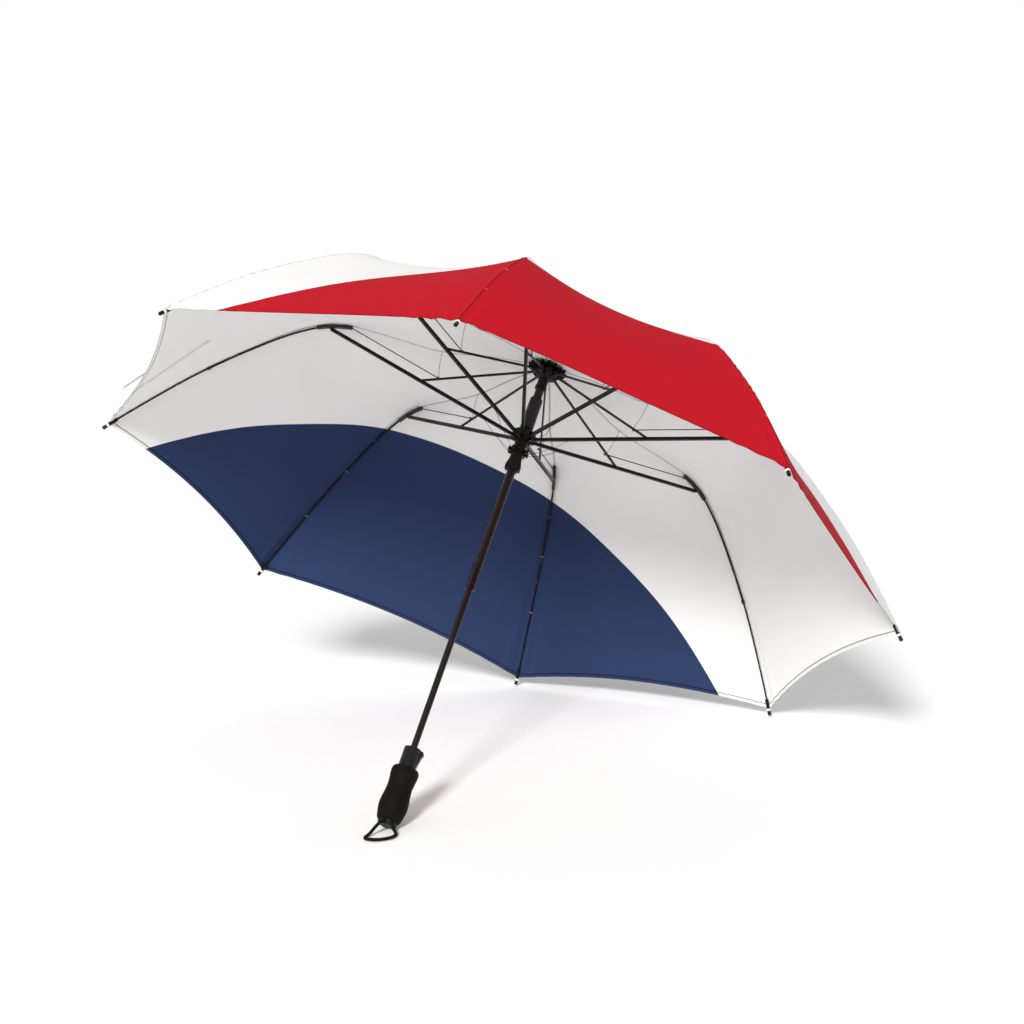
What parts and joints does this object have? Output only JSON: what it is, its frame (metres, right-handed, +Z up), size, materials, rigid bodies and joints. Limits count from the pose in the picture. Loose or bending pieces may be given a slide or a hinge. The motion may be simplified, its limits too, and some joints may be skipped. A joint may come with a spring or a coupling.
{
  "type": "golf umbrella",
  "caption": "Folding golf umbrella, open: telescoping shaft, sliding runner, hinged folding ribs, domed fabric canopy in three colour bands, contoured grip with push button.",
  "frame": {"origin": "centre of the flat end face of the handle", "axes": "+Z up the shaft from the handle to the top cap; +X along rib 1; ribs follow every 45 degrees about +Z; the push button is on the -Y side"},
  "size_m": [1.2924, 1.2924, 0.8568],
  "materials": {
    "grip_foam": "soft matte",
    "black_plastic": "moulded gloss",
    "matte_black_plastic": "moulded satin",
    "shaft_metal": "dark lacquered steel",
    "frame_metal": "black lacquered steel",
    "rod_fibre": "black coated springy rod",
    "wire_steel": "bright wire",
    "spring_steel": "bright",
    "cord": "braided",
    "canopy_fabric": "woven",
    "strap_fabric": "woven",
    "rosette_fabric": "woven"
  },
  "bodies": {
    "handle": {"grip": "grip_foam", "end_cap": "matte_black_plastic", "wrist_cord": "cord", "handle_collar": "black_plastic", "lower_tube": "shaft_metal", "tube_guide": "matte_black_plastic", "button_spring": "spring_steel"},
    "button": {"push_button": "black_plastic"},
    "upper_shaft": {"upper_tube": "shaft_metal", "tube_collar": "shaft_metal", "opening_spring": "spring_steel", "crown_hub": "matte_black_plastic", "crown_ring_wire": "wire_steel", "top_cap": "black_plastic", "crown_rosette": "rosette_fabric", "canopy": "canopy_fabric"},
    "runner": {"runner": "matte_black_plastic", "runner_sleeve": "matte_black_plastic", "runner_flange": "matte_black_plastic"},
    "crown_link_1": {"crown_link_1": "frame_metal"},
    "stretcher_1": {"stretcher_1": "frame_metal"},
    "link_wire_1": {"link_wire_1": "wire_steel"},
    "rib_inner_1": {"rib_inner_1": "frame_metal"},
    "rib_outer_1": {"rib_outer_1": "rod_fibre"},
    "crown_link_2": {"crown_link_2": "frame_metal"},
    "stretcher_2": {"stretcher_2": "frame_metal"},
    "link_wire_2": {"link_wire_2": "wire_steel"},
    "rib_inner_2": {"rib_inner_2": "frame_metal"},
    "rib_outer_2": {"rib_outer_2": "rod_fibre"},
    "crown_link_3": {"crown_link_3": "frame_metal"},
    "stretcher_3": {"stretcher_3": "frame_metal"},
    "link_wire_3": {"link_wire_3": "wire_steel"},
    "rib_inner_3": {"rib_inner_3": "frame_metal"},
    "rib_outer_3": {"rib_outer_3": "rod_fibre"},
    "crown_link_4": {"crown_link_4": "frame_metal"},
    "stretcher_4": {"stretcher_4": "frame_metal"},
    "link_wire_4": {"link_wire_4": "wire_steel"},
    "rib_inner_4": {"rib_inner_4": "frame_metal"},
    "rib_outer_4": {"rib_outer_4": "rod_fibre"},
    "crown_link_5": {"crown_link_5": "frame_metal"},
    "stretcher_5": {"stretcher_5": "frame_metal"},
    "link_wire_5": {"link_wire_5": "wire_steel"},
    "rib_inner_5": {"rib_inner_5": "frame_metal"},
    "rib_outer_5": {"rib_outer_5": "rod_fibre"},
    "crown_link_6": {"crown_link_6": "frame_metal"},
    "stretcher_6": {"stretcher_6": "frame_metal"},
    "link_wire_6": {"link_wire_6": "wire_steel"},
    "rib_inner_6": {"rib_inner_6": "frame_metal"},
    "rib_outer_6": {"rib_outer_6": "rod_fibre"},
    "crown_link_7": {"crown_link_7": "frame_metal"},
    "stretcher_7": {"stretcher_7": "frame_metal"},
    "link_wire_7": {"link_wire_7": "wire_steel"},
    "rib_inner_7": {"rib_inner_7": "frame_metal"},
    "rib_outer_7": {"rib_outer_7": "rod_fibre"},
    "crown_link_8": {"crown_link_8": "frame_metal"},
    "stretcher_8": {"stretcher_8": "frame_metal"},
    "link_wire_8": {"link_wire_8": "wire_steel"},
    "rib_inner_8": {"rib_inner_8": "frame_metal"},
    "rib_outer_8": {"rib_outer_8": "rod_fibre"},
    "strap": {"closing_strap": "strap_fabric"}
  },
  "joints": [
    {"name": "shaft_telescope", "type": "slide", "parent": "handle", "child": "upper_shaft", "axis": [0, 0, 1], "range_m": [-0.224, 0], "deforming": ["opening_spring"]},
    {"name": "button_press", "type": "slide", "parent": "handle", "child": "button", "axis": [0, 1, 0], "range_m": [0, 0.0022]},
    {"name": "runner_slide", "type": "slide", "parent": "upper_shaft", "child": "runner", "axis": [0, 0, 1], "range_m": [-0.2466, 0], "deforming": ["canopy"]},
    {"name": "crown_link_hinge_1", "type": "hinge", "parent": "upper_shaft", "child": "crown_link_1", "pos_m": [0.015, 0, 0.776], "axis": [0, -1, 0], "range_deg": [-65.11, 0]},
    {"name": "stretcher_hinge_1", "type": "hinge", "parent": "crown_link_1", "child": "stretcher_1", "pos_m": [0.1875, 0, 0.71], "axis": [0, -1, 0], "range_deg": [0, 134.53]},
    {"name": "link_wire_hinge_1", "type": "hinge", "parent": "crown_link_1", "child": "link_wire_1", "pos_m": [0.16041, 0, 0.72036], "axis": [0, -1, 0], "range_deg": [0, 136.42]},
    {"name": "rib_inner_hinge_1", "type": "hinge", "parent": "stretcher_1", "child": "rib_inner_1", "pos_m": [0.35388, 0, 0.75919], "axis": [0, -1, 0], "range_deg": [-122.97, 0]},
    {"name": "rib_outer_hinge_1", "type": "hinge", "parent": "rib_inner_1", "child": "rib_outer_1", "pos_m": [0.52, 0, 0.638], "axis": [0, -1, 0], "range_deg": [0, 14.65]},
    {"name": "crown_link_hinge_2", "type": "hinge", "parent": "upper_shaft", "child": "crown_link_2", "pos_m": [0.01061, 0.01061, 0.776], "axis": [0.7071, -0.7071, 0], "range_deg": [-65.11, 0]},
    {"name": "stretcher_hinge_2", "type": "hinge", "parent": "crown_link_2", "child": "stretcher_2", "pos_m": [0.13258, 0.13258, 0.71], "axis": [0.7071, -0.7071, 0], "range_deg": [0, 134.53]},
    {"name": "link_wire_hinge_2", "type": "hinge", "parent": "crown_link_2", "child": "link_wire_2", "pos_m": [0.11343, 0.11343, 0.72036], "axis": [0.7071, -0.7071, 0], "range_deg": [0, 136.42]},
    {"name": "rib_inner_hinge_2", "type": "hinge", "parent": "stretcher_2", "child": "rib_inner_2", "pos_m": [0.25023, 0.25023, 0.75919], "axis": [0.7071, -0.7071, 0], "range_deg": [-122.97, 0]},
    {"name": "rib_outer_hinge_2", "type": "hinge", "parent": "rib_inner_2", "child": "rib_outer_2", "pos_m": [0.3677, 0.3677, 0.638], "axis": [0.7071, -0.7071, 0], "range_deg": [0, 14.65]},
    {"name": "crown_link_hinge_3", "type": "hinge", "parent": "upper_shaft", "child": "crown_link_3", "pos_m": [0, 0.015, 0.776], "axis": [1, 0, 0], "range_deg": [-65.11, 0]},
    {"name": "stretcher_hinge_3", "type": "hinge", "parent": "crown_link_3", "child": "stretcher_3", "pos_m": [0, 0.1875, 0.71], "axis": [1, 0, 0], "range_deg": [0, 134.53]},
    {"name": "link_wire_hinge_3", "type": "hinge", "parent": "crown_link_3", "child": "link_wire_3", "pos_m": [0, 0.16041, 0.72036], "axis": [1, 0, 0], "range_deg": [0, 136.42]},
    {"name": "rib_inner_hinge_3", "type": "hinge", "parent": "stretcher_3", "child": "rib_inner_3", "pos_m": [0, 0.35388, 0.75919], "axis": [1, 0, 0], "range_deg": [-122.97, 0]},
    {"name": "rib_outer_hinge_3", "type": "hinge", "parent": "rib_inner_3", "child": "rib_outer_3", "pos_m": [0, 0.52, 0.638], "axis": [1, 0, 0], "range_deg": [0, 14.65]},
    {"name": "crown_link_hinge_4", "type": "hinge", "parent": "upper_shaft", "child": "crown_link_4", "pos_m": [-0.01061, 0.01061, 0.776], "axis": [0.7071, 0.7071, 0], "range_deg": [-65.11, 0]},
    {"name": "stretcher_hinge_4", "type": "hinge", "parent": "crown_link_4", "child": "stretcher_4", "pos_m": [-0.13258, 0.13258, 0.71], "axis": [0.7071, 0.7071, 0], "range_deg": [0, 134.53]},
    {"name": "link_wire_hinge_4", "type": "hinge", "parent": "crown_link_4", "child": "link_wire_4", "pos_m": [-0.11343, 0.11343, 0.72036], "axis": [0.7071, 0.7071, 0], "range_deg": [0, 136.42]},
    {"name": "rib_inner_hinge_4", "type": "hinge", "parent": "stretcher_4", "child": "rib_inner_4", "pos_m": [-0.25023, 0.25023, 0.75919], "axis": [0.7071, 0.7071, 0], "range_deg": [-122.97, 0]},
    {"name": "rib_outer_hinge_4", "type": "hinge", "parent": "rib_inner_4", "child": "rib_outer_4", "pos_m": [-0.3677, 0.3677, 0.638], "axis": [0.7071, 0.7071, 0], "range_deg": [0, 14.65]},
    {"name": "crown_link_hinge_5", "type": "hinge", "parent": "upper_shaft", "child": "crown_link_5", "pos_m": [-0.015, 0, 0.776], "axis": [0, 1, 0], "range_deg": [-65.11, 0]},
    {"name": "stretcher_hinge_5", "type": "hinge", "parent": "crown_link_5", "child": "stretcher_5", "pos_m": [-0.1875, 0, 0.71], "axis": [0, 1, 0], "range_deg": [0, 134.53]},
    {"name": "link_wire_hinge_5", "type": "hinge", "parent": "crown_link_5", "child": "link_wire_5", "pos_m": [-0.16041, 0, 0.72036], "axis": [0, 1, 0], "range_deg": [0, 136.42]},
    {"name": "rib_inner_hinge_5", "type": "hinge", "parent": "stretcher_5", "child": "rib_inner_5", "pos_m": [-0.35388, 0, 0.75919], "axis": [0, 1, 0], "range_deg": [-122.97, 0]},
    {"name": "rib_outer_hinge_5", "type": "hinge", "parent": "rib_inner_5", "child": "rib_outer_5", "pos_m": [-0.52, 0, 0.638], "axis": [0, 1, 0], "range_deg": [0, 14.65]},
    {"name": "crown_link_hinge_6", "type": "hinge", "parent": "upper_shaft", "child": "crown_link_6", "pos_m": [-0.01061, -0.01061, 0.776], "axis": [-0.7071, 0.7071, 0], "range_deg": [-65.11, 0]},
    {"name": "stretcher_hinge_6", "type": "hinge", "parent": "crown_link_6", "child": "stretcher_6", "pos_m": [-0.13258, -0.13258, 0.71], "axis": [-0.7071, 0.7071, 0], "range_deg": [0, 134.53]},
    {"name": "link_wire_hinge_6", "type": "hinge", "parent": "crown_link_6", "child": "link_wire_6", "pos_m": [-0.11343, -0.11343, 0.72036], "axis": [-0.7071, 0.7071, 0], "range_deg": [0, 136.42]},
    {"name": "rib_inner_hinge_6", "type": "hinge", "parent": "stretcher_6", "child": "rib_inner_6", "pos_m": [-0.25023, -0.25023, 0.75919], "axis": [-0.7071, 0.7071, 0], "range_deg": [-122.97, 0]},
    {"name": "rib_outer_hinge_6", "type": "hinge", "parent": "rib_inner_6", "child": "rib_outer_6", "pos_m": [-0.3677, -0.3677, 0.638], "axis": [-0.7071, 0.7071, 0], "range_deg": [0, 14.65]},
    {"name": "crown_link_hinge_7", "type": "hinge", "parent": "upper_shaft", "child": "crown_link_7", "pos_m": [0, -0.015, 0.776], "axis": [-1, 0, 0], "range_deg": [-65.11, 0]},
    {"name": "stretcher_hinge_7", "type": "hinge", "parent": "crown_link_7", "child": "stretcher_7", "pos_m": [0, -0.1875, 0.71], "axis": [-1, 0, 0], "range_deg": [0, 134.53]},
    {"name": "link_wire_hinge_7", "type": "hinge", "parent": "crown_link_7", "child": "link_wire_7", "pos_m": [0, -0.16041, 0.72036], "axis": [-1, 0, 0], "range_deg": [0, 136.42]},
    {"name": "rib_inner_hinge_7", "type": "hinge", "parent": "stretcher_7", "child": "rib_inner_7", "pos_m": [0, -0.35388, 0.75919], "axis": [-1, 0, 0], "range_deg": [-122.97, 0]},
    {"name": "rib_outer_hinge_7", "type": "hinge", "parent": "rib_inner_7", "child": "rib_outer_7", "pos_m": [0, -0.52, 0.638], "axis": [-1, 0, 0], "range_deg": [0, 14.65]},
    {"name": "crown_link_hinge_8", "type": "hinge", "parent": "upper_shaft", "child": "crown_link_8", "pos_m": [0.01061, -0.01061, 0.776], "axis": [-0.7071, -0.7071, 0], "range_deg": [-65.11, 0]},
    {"name": "stretcher_hinge_8", "type": "hinge", "parent": "crown_link_8", "child": "stretcher_8", "pos_m": [0.13258, -0.13258, 0.71], "axis": [-0.7071, -0.7071, 0], "range_deg": [0, 134.53]},
    {"name": "link_wire_hinge_8", "type": "hinge", "parent": "crown_link_8", "child": "link_wire_8", "pos_m": [0.11343, -0.11343, 0.72036], "axis": [-0.7071, -0.7071, 0], "range_deg": [0, 136.42]},
    {"name": "rib_inner_hinge_8", "type": "hinge", "parent": "stretcher_8", "child": "rib_inner_8", "pos_m": [0.25023, -0.25023, 0.75919], "axis": [-0.7071, -0.7071, 0], "range_deg": [-122.97, 0]},
    {"name": "rib_outer_hinge_8", "type": "hinge", "parent": "rib_inner_8", "child": "rib_outer_8", "pos_m": [0.3677, -0.3677, 0.638], "axis": [-0.7071, -0.7071, 0], "range_deg": [0, 14.65]},
    {"name": "strap_swing", "type": "hinge", "parent": "rib_outer_3", "child": "strap", "pos_m": [-0.18336, 0.48315, 0.60585], "axis": [0.8869, -0.1166, 0.4471], "range_deg": [0, 70]}
  ],
  "couplings": [
    {"joint": "crown_link_hinge_1", "follows": "runner_slide", "rad_per_m": 4.6049},
    {"joint": "stretcher_hinge_1", "follows": "runner_slide", "rad_per_m": -9.5183},
    {"joint": "link_wire_hinge_1", "follows": "runner_slide", "rad_per_m": -9.6519},
    {"joint": "rib_inner_hinge_1", "follows": "runner_slide", "rad_per_m": 8.6999},
    {"joint": "rib_outer_hinge_1", "follows": "runner_slide", "rad_per_m": -1.0333},
    {"joint": "crown_link_hinge_2", "follows": "runner_slide", "rad_per_m": 4.6049},
    {"joint": "stretcher_hinge_2", "follows": "runner_slide", "rad_per_m": -9.5183},
    {"joint": "link_wire_hinge_2", "follows": "runner_slide", "rad_per_m": -9.6519},
    {"joint": "rib_inner_hinge_2", "follows": "runner_slide", "rad_per_m": 8.6999},
    {"joint": "rib_outer_hinge_2", "follows": "runner_slide", "rad_per_m": -1.0333},
    {"joint": "crown_link_hinge_3", "follows": "runner_slide", "rad_per_m": 4.6049},
    {"joint": "stretcher_hinge_3", "follows": "runner_slide", "rad_per_m": -9.5183},
    {"joint": "link_wire_hinge_3", "follows": "runner_slide", "rad_per_m": -9.6519},
    {"joint": "rib_inner_hinge_3", "follows": "runner_slide", "rad_per_m": 8.6999},
    {"joint": "rib_outer_hinge_3", "follows": "runner_slide", "rad_per_m": -1.0333},
    {"joint": "crown_link_hinge_4", "follows": "runner_slide", "rad_per_m": 4.6049},
    {"joint": "stretcher_hinge_4", "follows": "runner_slide", "rad_per_m": -9.5183},
    {"joint": "link_wire_hinge_4", "follows": "runner_slide", "rad_per_m": -9.6519},
    {"joint": "rib_inner_hinge_4", "follows": "runner_slide", "rad_per_m": 8.6999},
    {"joint": "rib_outer_hinge_4", "follows": "runner_slide", "rad_per_m": -1.0333},
    {"joint": "crown_link_hinge_5", "follows": "runner_slide", "rad_per_m": 4.6049},
    {"joint": "stretcher_hinge_5", "follows": "runner_slide", "rad_per_m": -9.5183},
    {"joint": "link_wire_hinge_5", "follows": "runner_slide", "rad_per_m": -9.6519},
    {"joint": "rib_inner_hinge_5", "follows": "runner_slide", "rad_per_m": 8.6999},
    {"joint": "rib_outer_hinge_5", "follows": "runner_slide", "rad_per_m": -1.0333},
    {"joint": "crown_link_hinge_6", "follows": "runner_slide", "rad_per_m": 4.6049},
    {"joint": "stretcher_hinge_6", "follows": "runner_slide", "rad_per_m": -9.5183},
    {"joint": "link_wire_hinge_6", "follows": "runner_slide", "rad_per_m": -9.6519},
    {"joint": "rib_inner_hinge_6", "follows": "runner_slide", "rad_per_m": 8.6999},
    {"joint": "rib_outer_hinge_6", "follows": "runner_slide", "rad_per_m": -1.0333},
    {"joint": "crown_link_hinge_7", "follows": "runner_slide", "rad_per_m": 4.6049},
    {"joint": "stretcher_hinge_7", "follows": "runner_slide", "rad_per_m": -9.5183},
    {"joint": "link_wire_hinge_7", "follows": "runner_slide", "rad_per_m": -9.6519},
    {"joint": "rib_inner_hinge_7", "follows": "runner_slide", "rad_per_m": 8.6999},
    {"joint": "rib_outer_hinge_7", "follows": "runner_slide", "rad_per_m": -1.0333},
    {"joint": "crown_link_hinge_8", "follows": "runner_slide", "rad_per_m": 4.6049},
    {"joint": "stretcher_hinge_8", "follows": "runner_slide", "rad_per_m": -9.5183},
    {"joint": "link_wire_hinge_8", "follows": "runner_slide", "rad_per_m": -9.6519},
    {"joint": "rib_inner_hinge_8", "follows": "runner_slide", "rad_per_m": 8.6999},
    {"joint": "rib_outer_hinge_8", "follows": "runner_slide", "rad_per_m": -1.0333}
  ]
}
